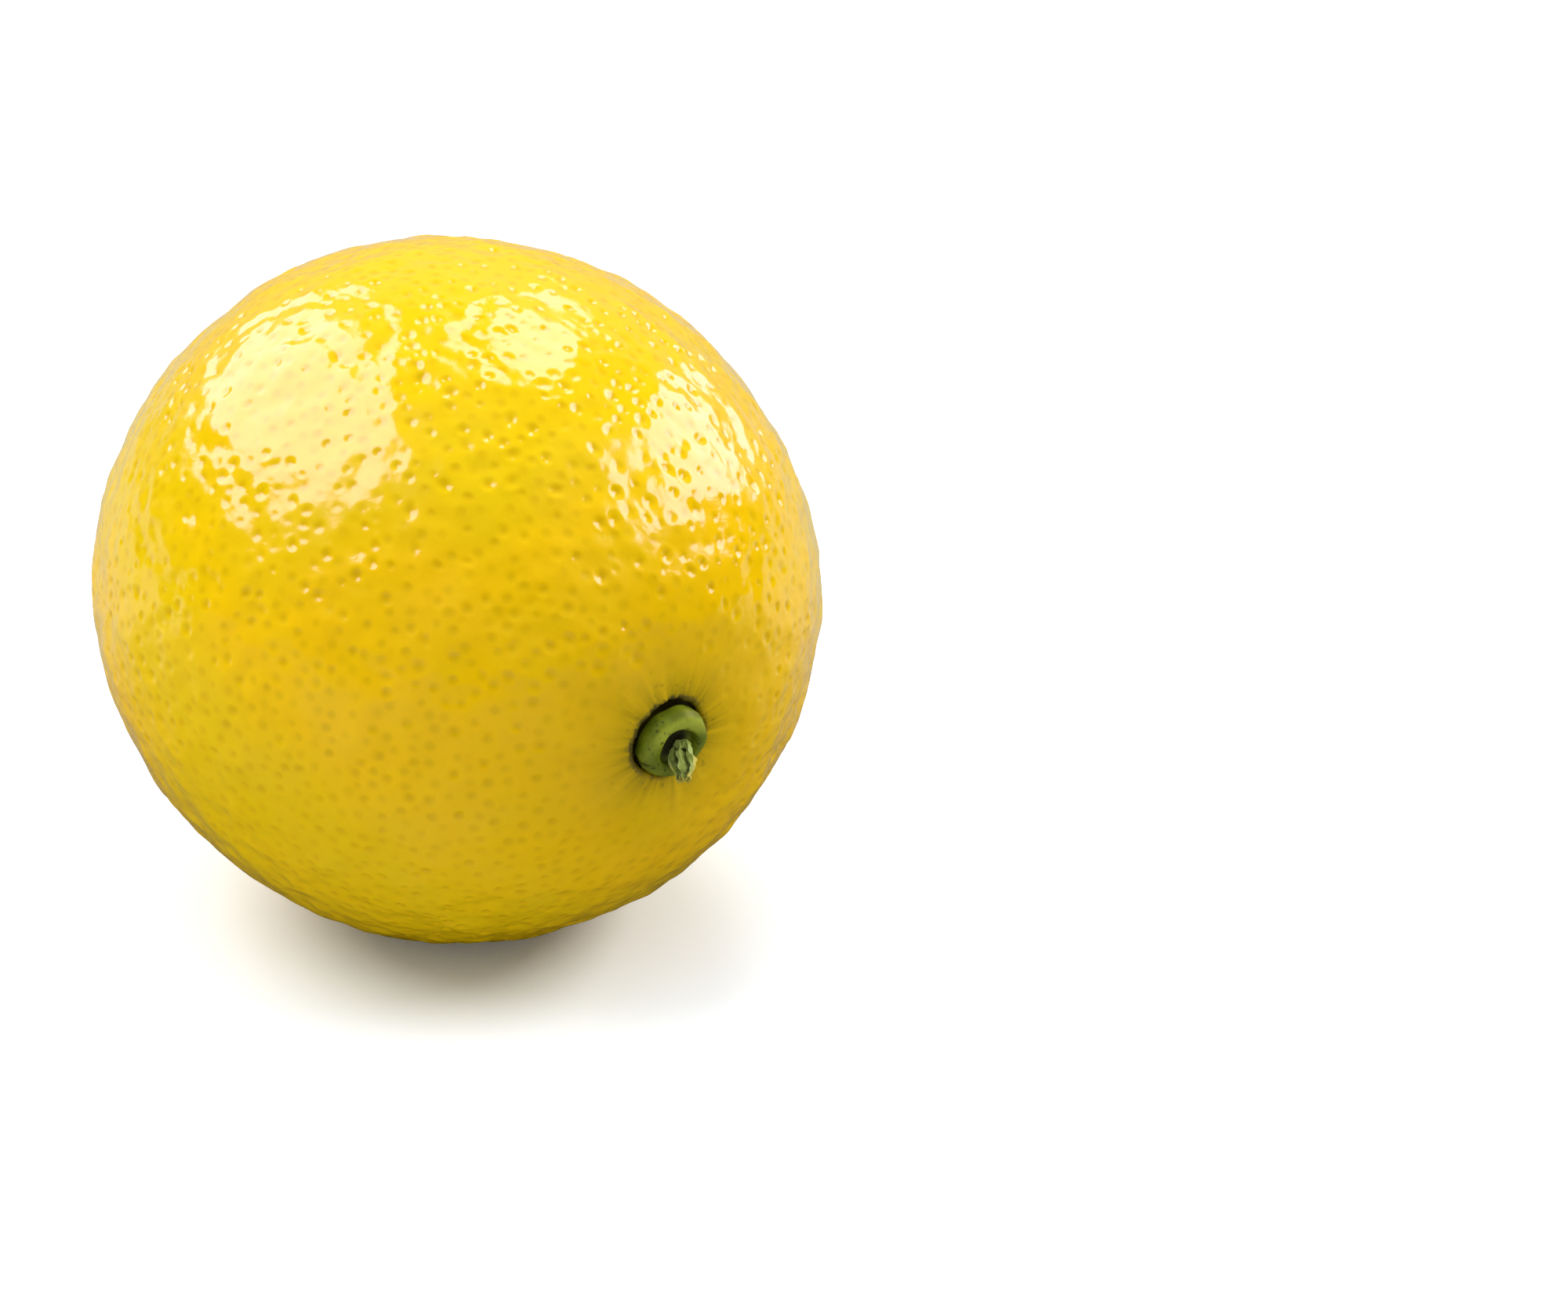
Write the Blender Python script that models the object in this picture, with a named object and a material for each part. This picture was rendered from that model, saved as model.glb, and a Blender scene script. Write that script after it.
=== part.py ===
"""A whole lemon lying on its side, in metres, +Z up.

The stem end points to +X and the nipple of the blossom end to -X. The origin is the
centre of the small flat spot that the fruit lies on, right under its widest ring.
"""

from math import cos, exp, pi, radians, sin

import bmesh
import bpy
import numpy as np
from mathutils import Matrix, Vector

# Driving dimensions of the fruit, measured from the centre of its widest ring.
RADIUS = 0.030  # of the widest ring, square to the stem axis
STEM_REACH = 0.0342  # to where the stem end would close, without its dimple
BLOSSOM_REACH = 0.0332  # to where the blossom end would close, without its nipple
FULLNESS = 1.95  # exponent of the outline: 2 is an ellipse, less is more pointed
STEM_DROP = 0.0021  # how far the stem axis has bent down by the stem end
NIPPLE_HEIGHT = 0.0105  # that the nipple stands beyond the blossom reach
NIPPLE_SPREAD = 0.26  # half angle of the nipple, in radians seen from the centre
NIPPLE_BLUNTNESS = 2.4  # exponent of its outline: more gives a flatter tip
DIMPLE_DEPTH = 0.0010  # of the soft hollow round the stem
DIMPLE_SPREAD = 0.26  # half angle of that hollow, in radians seen from the centre
FLAT_DEPTH = 0.0007  # how much of the widest ring's underside the resting spot takes off

# The button that the stem leaves behind, and the pocket that it sits in.
CALYX_RADIUS = 0.0034
CALYX_HEIGHT = 0.0020
PIT_RADIUS = 0.0015  # of the hollow in the middle of the button
PIT_DEPTH = 0.0010
POCKET_RADIUS = CALYX_RADIUS + 0.0005
POCKET_DEPTH = 0.0011
GAP = 0.0003  # between pieces that touch

# The dry stub of the stem, which leans down and to one side out of the pit.
STUB_RADIUS = 0.0009
STUB_FOOT_RADIUS = 0.0006
STUB_LENGTH = 0.0043
STUB_DIRECTION = Vector((0.80, -0.28, -0.53)).normalized()
STUB_FOOT_SHIFT = 0.0004  # of its foot away from the side that it leans to

# How finely the round shapes are turned.
FRUIT_SECTORS = 56
FRUIT_RINGS = 40
CALYX_SECTORS = 28
STUB_SECTORS = 14

CENTRE = Vector((0.0, 0.0, RADIUS - FLAT_DEPTH))  # of the widest ring
X_AXIS = Vector((1.0, 0.0, 0.0))


def reach(angle):
    """Distance from the centre to the peel, at an angle from the stem axis (0 at the stem end)."""
    length = STEM_REACH if angle < pi / 2 else BLOSSOM_REACH
    along = abs(cos(angle) / length) ** FULLNESS
    across = abs(sin(angle) / RADIUS) ** FULLNESS
    body = (along + across) ** (-1 / FULLNESS)
    nipple = NIPPLE_HEIGHT * exp(-(((pi - angle) / NIPPLE_SPREAD) ** NIPPLE_BLUNTNESS))
    dimple = DIMPLE_DEPTH * exp(-((angle / DIMPLE_SPREAD) ** 2))
    return body + nipple - dimple


def peel_outline(count):
    """Points of the peel's outline, (along the stem axis, away from it), evenly spaced.

    They run from the rim of the button's pocket to the tip of the nipple.
    """
    angles = np.linspace(0.0, pi, 2000)
    reaches = np.array([reach(angle) for angle in angles])
    along, away = reaches * np.cos(angles), reaches * np.sin(angles)
    outside = (away >= POCKET_RADIUS) | (angles > pi / 2)
    along, away = along[outside], away[outside]
    travelled = np.concatenate([[0.0], np.cumsum(np.hypot(np.diff(along), np.diff(away)))])
    stops = np.linspace(0.0, travelled[-1], count)
    return list(zip(np.interp(stops, travelled, along), np.interp(stops, travelled, away)))


def axis_frame(along):
    """The stem axis bends down towards the stem end: its height there, and its slope in radians."""
    share = max(along, 0.0) / STEM_REACH
    return -STEM_DROP * share**2, 2 * STEM_DROP * share / STEM_REACH


def bent(point):
    """Moves a point of the straight fruit with the bend of its stem axis."""
    drop, slope = axis_frame(point.x)
    return Vector((point.x + point.z * sin(slope), point.y, drop + point.z * cos(slope)))


def material(name, colour, roughness):
    made = bpy.data.materials.new(name)
    made.use_nodes = True
    shader = made.node_tree.nodes["Principled BSDF"]
    shader.inputs["Base Color"].default_value = (*colour, 1.0)
    shader.inputs["Roughness"].default_value = roughness
    shader.inputs["Metallic"].default_value = 0.0
    return made


def turned(name, outline, sectors, look):
    """An object turned about its X axis from an outline of (along, away) points.

    The outline's first and last points lie on the axis, and it runs from the +X end to
    the -X end.
    """
    shape = bmesh.new()
    points = [shape.verts.new((along, 0.0, away)) for along, away in outline]
    edges = [shape.edges.new(pair) for pair in zip(points, points[1:])]
    bmesh.ops.spin(
        shape,
        geom=points + edges,
        cent=(0.0, 0.0, 0.0),
        axis=X_AXIS,
        angle=2 * pi,
        steps=sectors,
        use_merge=True,
    )
    bmesh.ops.remove_doubles(shape, verts=shape.verts, dist=1e-7)
    bmesh.ops.recalc_face_normals(shape, faces=shape.faces)
    mesh = bpy.data.meshes.new(name)
    shape.to_mesh(mesh)
    shape.free()
    mesh.materials.append(look)
    made = bpy.data.objects.new(name, mesh)
    bpy.context.scene.collection.objects.link(made)
    return made


def shade(made, sharp_degrees):
    made.data.shade_smooth()
    made.data.set_sharp_from_angle(angle=radians(sharp_degrees))


def cut_flat(made, height):
    """Takes off everything below a level plane and closes the cut with one flat face."""
    shape = bmesh.new()
    shape.from_mesh(made.data)
    bmesh.ops.bisect_plane(
        shape,
        geom=shape.verts[:] + shape.edges[:] + shape.faces[:],
        plane_co=(0.0, 0.0, height),
        plane_no=(0.0, 0.0, -1.0),
        clear_outer=True,
    )
    rim = [edge for edge in shape.edges if edge.is_boundary]
    bmesh.ops.edgenet_fill(shape, edges=rim)
    bmesh.ops.recalc_face_normals(shape, faces=shape.faces)
    for edge in rim:
        edge.smooth = False
    shape.to_mesh(made.data)
    shape.free()


RIM = peel_outline(2)[0]
POCKET_FLOOR = RIM[0] - POCKET_DEPTH  # its place along the straight stem axis


def stem_placement(along):
    """The place and turn of a piece that stands on the bent stem axis."""
    drop, slope = axis_frame(along)
    place = CENTRE + Vector((along, 0.0, drop))
    return Matrix.Translation(place) @ Matrix.Rotation(slope, 4, "Y")


def make_fruit():
    """The fruit: body and nipple in one skin, with a pocket for the button and a flat to lie on."""
    pocket = [(POCKET_FLOOR, 0.0), (POCKET_FLOOR, POCKET_RADIUS)]
    look = material("peel_yellow", (0.88, 0.60, 0.02), 0.32)
    fruit = turned("fruit", pocket + peel_outline(FRUIT_RINGS), FRUIT_SECTORS, look)
    for vertex in fruit.data.vertices:
        vertex.co = bent(vertex.co)
    fruit.location = CENTRE
    shade(fruit, 40)
    cut_flat(fruit, -CENTRE.z)
    return fruit


def make_calyx():
    """The green button: a thick rounded ring with a floor, so it is one closed solid."""
    lip_middle = (PIT_RADIUS + CALYX_RADIUS) / 2
    lip_half = (CALYX_RADIUS - PIT_RADIUS) / 2
    lip_rise = 0.6 * CALYX_HEIGHT
    pit_floor = CALYX_HEIGHT - PIT_DEPTH
    outline = [(pit_floor, 0.0), (pit_floor, 0.8 * PIT_RADIUS)]
    for step in range(9):
        turn = pi - pi * step / 8
        rise = CALYX_HEIGHT - lip_rise + lip_rise * sin(turn)
        outline.append((rise, lip_middle + lip_half * cos(turn)))
    outline += [(0.0, 0.92 * CALYX_RADIUS), (0.0, 0.0)]
    look = material("calyx_green", (0.16, 0.20, 0.02), 0.45)
    calyx = turned("calyx", outline, CALYX_SECTORS, look)
    calyx.matrix_world = stem_placement(POCKET_FLOOR + GAP)
    shade(calyx, 50)
    return calyx


def make_stub():
    """The stub: a short dry stalk, thin at its foot, that starts in the pit of the button."""
    outline = [
        (STUB_LENGTH, 0.0),
        (STUB_LENGTH, 0.5 * STUB_RADIUS),
        (0.85 * STUB_LENGTH, 0.85 * STUB_RADIUS),
        (0.55 * STUB_LENGTH, STUB_RADIUS),
        (0.0, STUB_FOOT_RADIUS),
        (0.0, 0.0),
    ]
    look = material("stub_grey_green", (0.20, 0.20, 0.09), 0.85)
    stub = turned("stem_stub", outline, STUB_SECTORS, look)
    pit = stem_placement(POCKET_FLOOR + GAP + CALYX_HEIGHT - PIT_DEPTH)
    pit_axis = (pit.to_3x3() @ X_AXIS).normalized()
    lean = pit_axis.angle(STUB_DIRECTION)
    lean_side = (STUB_DIRECTION - STUB_DIRECTION.dot(pit_axis) * pit_axis).normalized()
    # The low side of the slanted foot keeps the gap to the floor of the pit.
    foot_height = GAP + STUB_FOOT_RADIUS * sin(lean)
    place = pit.translation + foot_height * pit_axis - STUB_FOOT_SHIFT * lean_side
    turn = X_AXIS.rotation_difference(STUB_DIRECTION).to_matrix().to_4x4()
    stub.matrix_world = Matrix.Translation(place) @ turn
    shade(stub, 50)
    return stub


def clear_scene():
    for old in list(bpy.data.objects):
        bpy.data.objects.remove(old, do_unlink=True)


clear_scene()
make_fruit()
make_calyx()
make_stub()
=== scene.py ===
# %% [markdown]
# # A whole lemon on a pale table
#
# The object is one lemon, lying on its side. Its stem end points to +X and its nipple to -X.
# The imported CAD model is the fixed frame: it says where the fruit, the green button and the
# dry stub of the stem are. This lesson gives each of them its real skin.

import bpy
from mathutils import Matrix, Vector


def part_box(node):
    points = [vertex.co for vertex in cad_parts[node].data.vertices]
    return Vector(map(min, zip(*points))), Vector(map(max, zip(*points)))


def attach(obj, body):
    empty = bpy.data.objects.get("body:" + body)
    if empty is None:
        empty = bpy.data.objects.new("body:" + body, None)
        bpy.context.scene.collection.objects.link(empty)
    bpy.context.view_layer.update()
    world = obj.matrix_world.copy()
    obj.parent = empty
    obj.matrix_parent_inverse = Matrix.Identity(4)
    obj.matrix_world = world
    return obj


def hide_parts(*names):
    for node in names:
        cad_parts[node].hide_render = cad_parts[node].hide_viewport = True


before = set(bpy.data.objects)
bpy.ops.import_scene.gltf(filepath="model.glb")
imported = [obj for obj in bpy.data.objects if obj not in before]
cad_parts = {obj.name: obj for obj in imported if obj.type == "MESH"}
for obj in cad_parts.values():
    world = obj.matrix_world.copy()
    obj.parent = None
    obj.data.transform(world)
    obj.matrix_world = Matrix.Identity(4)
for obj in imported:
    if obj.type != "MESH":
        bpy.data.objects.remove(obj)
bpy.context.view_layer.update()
print("nodes:", sorted(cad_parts))

# %% Modules used below
from math import cos, pi, radians, sin

import bpy
import numpy as np
from mathutils import Matrix, Vector
from mathutils.bvhtree import BVHTree
from mathutils.kdtree import KDTree

MM = 0.001

# %% [markdown]
# ## The camera first
#
# A lens of 100 mm on a full-frame sensor shows a small thing without stretching it. The
# camera stands a little over a third of a metre away, 23 degrees above the table, and sees
# the stem end from the side. Its matrix is built from three directions, so that the lemon
# can sit left of the middle without tilting or shifting anything.

# %% Place the camera
CAMERA_AZIMUTH = radians(54.8)
CAMERA_HEIGHT = radians(23.1)
CAMERA_DISTANCE = 0.3727
LEMON_LEFT = 28.15 * MM  # of the optical axis
LEMON_ABOVE = 4.9 * MM  # the optical axis

fruit_low, fruit_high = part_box("fruit")
RADIUS = (fruit_high.y - fruit_low.y) / 2
CENTRE = Vector((0.0, 0.0, fruit_high.z - RADIUS))

to_camera = Vector((
    sin(CAMERA_AZIMUTH) * cos(CAMERA_HEIGHT),
    -cos(CAMERA_AZIMUTH) * cos(CAMERA_HEIGHT),
    sin(CAMERA_HEIGHT),
))
to_right = Vector((0.0, 0.0, 1.0)).cross(to_camera).normalized()
to_top = to_camera.cross(to_right)

camera_data = bpy.data.cameras.new("camera")
camera_data.lens = 100
camera_data.sensor_width = 36
camera = bpy.data.objects.new("camera", camera_data)
bpy.context.scene.collection.objects.link(camera)
axes = Matrix((to_right, to_top, to_camera)).transposed().to_4x4()
aim = CENTRE + LEMON_LEFT * to_right - LEMON_ABOVE * to_top
camera.matrix_world = Matrix.Translation(aim + CAMERA_DISTANCE * to_camera) @ axes
bpy.context.scene.camera = camera
print("widest radius in mm:", round(RADIUS / MM, 2), "camera at", tuple(camera.location))

# %% [markdown]
# ## Noise for a grown thing
#
# Nothing on a fruit is even. This small function gives smooth random hills and hollows in
# space: random numbers on a cubic lattice, blended between the corners of each cell. It works
# on all points of a mesh at once, which is much quicker than asking for one point at a time.

# %% Smooth random hills
LATTICE = 64
TILTED = np.array(Matrix.Rotation(0.7, 3, "X") @ Matrix.Rotation(0.5, 3, "Y") @ Matrix.Rotation(0.3, 3, "Z"))


def one_lattice(points, size, seed):
    """A smooth random value from -1 to 1 at each point, blended between the corners of a lattice."""
    lattice = np.random.default_rng(seed).uniform(-1, 1, (LATTICE, LATTICE, LATTICE))
    place = points / size + LATTICE / 2
    cell = np.floor(place).astype(int)
    blend = place - cell
    blend = blend * blend * (3 - 2 * blend)
    total = np.zeros(len(points))
    for corner in np.ndindex(2, 2, 2):
        weight = np.prod(np.where(np.array(corner) == 1, blend, 1 - blend), axis=1)
        i, j, k = ((cell + corner) % LATTICE).T
        total += weight * lattice[i, j, k]
    return total


def hills(points, size, seed):
    """Hills of this size in metres, from two lattices at a slant, so that their rows don't show."""
    return 0.7 * (one_lattice(points, size, seed) + one_lattice(points @ TILTED, size, seed + 1000))


def fade(value, start, end):
    """0 before start, 1 after end, with a soft step between them."""
    share = np.clip((value - start) / (end - start), 0.0, 1.0)
    return share * share * (3 - 2 * share)


trial = hills(np.random.default_rng(1).uniform(-RADIUS, RADIUS, (2000, 3)), 4 * MM, 2)
print("hills reach from", trial.min().round(2), "to", trial.max().round(2))

# %% [markdown]
# ## From a grid of points to a skin
#
# Each of the three pieces is round about an axis, so each is a grid: rings of points, one
# after another along the piece, with the same number of points in every ring. One function
# turns such a grid into a closed mesh. It also lays out a UV map, around by along, so that a
# later bake spreads its texture evenly.

# %% Skin a grid of rings


def skin(name, rings, first_tip, last_tip):
    """A closed mesh object from an array of rings x sectors x 3, closed by a point at each end."""
    count, sectors, _ = rings.shape
    points = np.vstack([rings.reshape(-1, 3), [first_tip], [last_tip]])
    start = np.arange(count - 1)[:, None] * sectors + np.arange(sectors)
    after = np.arange(count - 1)[:, None] * sectors + (np.arange(sectors) + 1) % sectors
    quads = np.stack([start, start + sectors, after + sectors, after], -1).reshape(-1, 4)
    ring = np.arange(sectors)
    following = (ring + 1) % sectors
    first = np.stack([np.full(sectors, count * sectors), ring, following], -1)
    base = (count - 1) * sectors
    last = np.stack([np.full(sectors, count * sectors + 1), base + following, base + ring], -1)

    mesh = bpy.data.meshes.new(name)
    corners = np.concatenate([quads.ravel(), first.ravel(), last.ravel()]).astype(np.int32)
    sizes = np.concatenate([np.full(len(quads), 4), np.full(2 * sectors, 3)])
    mesh.vertices.add(len(points))
    mesh.vertices.foreach_set("co", points.astype(np.float32).ravel())
    mesh.loops.add(len(corners))
    mesh.loops.foreach_set("vertex_index", corners)
    mesh.polygons.add(len(sizes))
    mesh.polygons.foreach_set("loop_start", np.cumsum(sizes) - sizes)
    mesh.update(calc_edges=True)

    # Around is u. The last sector runs on to 1 and not back to 0.
    around = np.append(np.tile(ring / sectors, count), [0.5, 0.5])[corners]
    along = np.append(np.repeat(np.arange(count) / (count - 1), sectors), [0.0, 1.0])[corners]
    wraps = np.concatenate([
        np.tile([False, False, True, True], len(quads)),
        np.tile([False, False, True], sectors),
        np.tile([False, True, False], sectors),
    ])
    around[wraps & (around == 0.0)] = 1.0
    layer = mesh.uv_layers.new(name="OFBake")
    uv = np.stack([around, 0.01 + 0.98 * along], -1)
    layer.uv.foreach_set("vector", uv.astype(np.float32).ravel())

    mesh.shade_smooth()
    mesh.validate()
    made = bpy.data.objects.new(name, mesh)
    bpy.context.scene.collection.objects.link(made)
    print(name, "has", len(mesh.polygons), "faces")
    return made


def paint(piece, name, values, first_tip, last_tip):
    """Stores one number per point of the piece, for its material to read."""
    layer = piece.data.attributes.new(name, "FLOAT", "POINT")
    layer.data.foreach_set("value", np.append(values, [first_tip, last_tip]).astype(np.float32))


# %% [markdown]
# ## The outline of the fruit
#
# A lemon's half outline is close to half an ellipse, slightly pointed, with a nipple added at
# the blossom end and a shallow hollow taken off at the stem. The same formula shaped the CAD
# solid. Here it is sampled far more finely, so that the peel can carry its pores.

# %% The outline as a formula
STEM_REACH = 34.2 * MM  # to where the stem end would close
BLOSSOM_REACH = 33.2 * MM  # to where the blossom end would close
FULLNESS = 1.95  # exponent of the outline: 2 is an ellipse
NIPPLE_HEIGHT = -fruit_low.x - BLOSSOM_REACH
NIPPLE_SPREAD = 0.26  # half angle, in radians from the centre
NIPPLE_BLUNTNESS = 2.4
DIMPLE_DEPTH = 1.0 * MM
DIMPLE_SPREAD = 0.26
STEM_DROP = 2.1 * MM  # how far the stem axis bends down by the stem end


def reach(angle):
    """Distance from the centre to the peel at an angle from the stem axis."""
    length = np.where(angle < pi / 2, STEM_REACH, BLOSSOM_REACH)
    along = np.abs(np.cos(angle) / length) ** FULLNESS
    across = np.abs(np.sin(angle) / RADIUS) ** FULLNESS
    nipple = NIPPLE_HEIGHT * np.exp(-(((pi - angle) / NIPPLE_SPREAD) ** NIPPLE_BLUNTNESS))
    dimple = DIMPLE_DEPTH * np.exp(-((angle / DIMPLE_SPREAD) ** 2))
    return (along + across) ** (-1 / FULLNESS) + nipple - dimple


def bent(points):
    """Bends straight points with the stem axis and puts them where the fruit lies."""
    share = np.clip(points[..., 0], 0.0, None) / STEM_REACH
    slope = 2 * STEM_DROP * share / STEM_REACH
    x = points[..., 0] + points[..., 2] * np.sin(slope)
    z = points[..., 2] * np.cos(slope) - STEM_DROP * share**2 + CENTRE.z
    return np.stack([x, points[..., 1], z], -1)


print("the nipple stands out by", round(NIPPLE_HEIGHT / MM, 1), "mm")

# %% [markdown]
# ## The grid of the peel
#
# The rings start at the middle of the pocket that holds the button, climb its wall, roll over
# its rim and run along the peel to the tip of the nipple. They are close together near the
# stem, where the finest creases are, and a fifth of a millimetre apart elsewhere.

# %% Space the rings along the peel
SECTORS = 960
POCKET_RADIUS = 3.9 * MM
RIM_ROUND = 0.36 * MM  # how far the rolled rim reaches outwards
FINE_STEP, STEP = 0.06 * MM, 0.20 * MM
FINE_UNTIL = 5 * MM  # from the rim
OUTLINE_POINTS = 20000

angles = np.linspace(0.0, pi, OUTLINE_POINTS)
along = reach(angles) * np.cos(angles)
away = reach(angles) * np.sin(angles)
outside = (away >= POCKET_RADIUS + RIM_ROUND) | (angles > pi / 2)
along, away = along[outside], away[outside]
travelled = np.concatenate([[0.0], np.cumsum(np.hypot(np.diff(along), np.diff(away)))])
steps = FINE_STEP + (STEP - FINE_STEP) * fade(travelled, 0.0, FINE_UNTIL)
ring_number = np.concatenate([[0.0], np.cumsum(np.diff(travelled) / steps[1:])])
stops = np.interp(np.arange(int(ring_number[-1])), ring_number, travelled)
peel_along = np.interp(stops, travelled, along)
peel_away = np.interp(stops, travelled, away)
print("rings on the peel:", len(stops), "outline in mm:", round(stops[-1] / MM, 1))

# %% [markdown]
# The pocket comes before them: a level floor, a straight wall and the rolled rim, each a few
# rings. Two lists keep, for every ring, how far it is from the rim and whether it is inside
# the pocket, because the peel's details depend on that.

# %% Add the pocket's rings
POCKET_DEPTH = 1.1 * MM
RIM_SINK = 0.55 * MM  # how far the rolled rim reaches down
FLOOR_RINGS, WALL_RINGS, ROLL_RINGS = 8, 7, 8
POCKET_RINGS = FLOOR_RINGS + WALL_RINGS

rim_along = peel_along[0]
roll = np.linspace(0.0, pi / 2, ROLL_RINGS + 1)[:-1]
roll_along = rim_along - RIM_SINK * (1 - np.sin(roll))
roll_away = POCKET_RADIUS + RIM_ROUND * (1 - np.cos(roll))
floor_along = rim_along - POCKET_DEPTH
floor_away = np.linspace(0.2, 0.97, FLOOR_RINGS) * POCKET_RADIUS
wall_along = np.linspace(floor_along, roll_along[0], WALL_RINGS + 1)[:-1]
wall_away = np.full(WALL_RINGS, POCKET_RADIUS)
ring_along = np.concatenate([np.full(FLOOR_RINGS, floor_along), wall_along, roll_along, peel_along])
ring_away = np.concatenate([floor_away, wall_away, roll_away, peel_away])
from_rim = np.concatenate([np.zeros(POCKET_RINGS + ROLL_RINGS), stops])
is_pocket = np.concatenate([np.ones(POCKET_RINGS), np.zeros(ROLL_RINGS + len(stops))])
print("rings in all:", len(ring_along))

# %% [markdown]
# ## Straight points, and which way is out
#
# Everything that follows is a height above or below the smooth outline, measured along its
# own normal. So the grid gets its straight points and its normals first.

# %% Points and normals of the smooth peel
bearing = np.linspace(0.0, 2 * pi, SECTORS, endpoint=False)
round_y, round_z = np.cos(bearing), np.sin(bearing)
rings = len(ring_along)
straight = np.stack([
    np.repeat(ring_along[:, None], SECTORS, 1),
    ring_away[:, None] * round_y,
    ring_away[:, None] * round_z,
], -1)
run_along, run_away = np.gradient(ring_along), np.gradient(ring_away)
length = np.hypot(run_along, run_away)
out_along, out_away = run_away / length, -run_along / length
normals = np.stack([
    np.repeat(out_along[:, None], SECTORS, 1),
    out_away[:, None] * round_y,
    out_away[:, None] * round_z,
], -1)
flat_points = straight.reshape(-1, 3)
flat_normals = normals.reshape(-1, 3)
rim_distance = np.repeat(from_rim, SECTORS)
in_pocket = np.repeat(is_pocket, SECTORS)
tip_distance = stops[-1] - rim_distance
sector_bearing = np.tile(bearing, rings)
print("points on the peel:", len(flat_points))

# %% [markdown]
# ## Lumps, ripples and creases
#
# Under the rind sit the segments, so a lemon has broad, low lumps. On them lie ripples a few
# millimetres wide, which break up every reflection. Creases run out from the stem like the
# folds of a drawn purse, and others run along the neck of the nipple. Noise that is read on
# a narrow cylinder, wide across and slow along, makes such creases.

# %% Low relief of the peel


def creases(size, seed):
    """Random folds that run along the fruit: noise that changes mostly with the bearing."""
    place = np.stack([
        np.cos(sector_bearing),
        np.sin(sector_bearing),
        rim_distance / (60 * MM),
    ], -1)
    return hills(place, size, seed)


LUMP, LUMP_SIZE = 0.30 * MM, 17 * MM
RIPPLE, RIPPLE_SIZE = 0.16 * MM, 3.6 * MM
COBBLE, COBBLE_SIZE = 0.13 * MM, 1.6 * MM
WRINKLE, WRINKLE_SIZE = 0.022 * MM, 0.8 * MM
STEM_FOLD, STEM_CREASE = 0.12 * MM, 0.045 * MM
NECK_FOLD, TIP_FOLD = 0.22 * MM, 0.18 * MM
on_peel = 1 - in_pocket
near_stem = np.exp(-rim_distance / (5.5 * MM)) * on_peel
near_nipple = np.exp(-((tip_distance - 9 * MM) / (6 * MM)) ** 2)
near_tip = np.exp(-tip_distance / (3.5 * MM))

height = LUMP * hills(flat_points, LUMP_SIZE, 11) * fade(rim_distance, 0.0, 12 * MM)
height += RIPPLE * hills(flat_points, RIPPLE_SIZE, 12)
calm_by_stem = 0.45 + 0.55 * fade(rim_distance, 0.0, 8 * MM)
height += COBBLE * hills(flat_points, COBBLE_SIZE, 13) * calm_by_stem
height += WRINKLE * hills(flat_points, WRINKLE_SIZE, 14)
height += near_stem * (STEM_FOLD * creases(0.22, 21) + STEM_CREASE * creases(0.07, 22))
height += near_nipple * NECK_FOLD * creases(0.35, 23)
height += near_tip * TIP_FOLD * creases(0.30, 24)
height *= on_peel
print("relief in mm:", round(height.min() / MM, 2), "to", round(height.max() / MM, 2))

# %% [markdown]
# ## Oil glands
#
# The peel is full of oil glands, about one and a half millimetres apart. Each shows as a
# slightly darker dot, and the skin sinks a little over it; over some it sinks into a clear
# pit. They are scattered by throwing darts: a dart that lands too close to an earlier
# one is dropped. A lattice of cells makes the search for neighbours quick.

# %% Scatter the glands
GLAND_SPACING = 1.16 * MM
DARTS = 44000


def scatter(points, areas, spacing, darts, seed):
    """Indices of points, picked evenly over the area, with no two closer than their spacing."""
    random = np.random.default_rng(seed)
    order = random.choice(len(points), darts, replace=False, p=areas / areas.sum())
    spread = spacing * random.uniform(0.86, 1.3, darts)
    taken = {}
    kept = []
    for index, apart in zip(order, spread):
        place = points[index]
        cell = tuple(np.floor(place / (1.3 * spacing)).astype(int))
        i, j, k = cell
        around = [
            other
            for di, dj, dk in np.ndindex(3, 3, 3)
            for other in taken.get((i + di - 1, j + dj - 1, k + dk - 1), ())
        ]
        if around and np.min(np.sum((np.array(around) - place) ** 2, axis=1)) < apart**2:
            continue
        taken.setdefault(cell, []).append(place)
        kept.append(index)
    return kept


BARE_RIM = 0.8 * MM  # no glands so near the pocket
areas = np.repeat(ring_away * np.maximum(np.gradient(from_rim), 0.0), SECTORS)
areas[rim_distance < BARE_RIM] = 0.0
glands = scatter(flat_points, areas, GLAND_SPACING, DARTS, 31)
print("glands:", len(glands))

# %% [markdown]
# A k-d tree finds the points near each gland. Filling it takes a few seconds for half a
# million points, and each search after that is quick.

# %% Sort the points into a tree
tree = KDTree(len(flat_points))
for index, place in enumerate(flat_points.tolist()):
    tree.insert(place, index)
tree.balance()
print("points in the tree:", len(flat_points))

# %% [markdown]
# Each gland lowers the points round it by a bell-shaped dimple with a faint swelling round
# it, and paints its dot. Most dimples are a little longer one way. They are deepest towards
# the stem half and in some patches, and soft right beside the stem.

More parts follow.
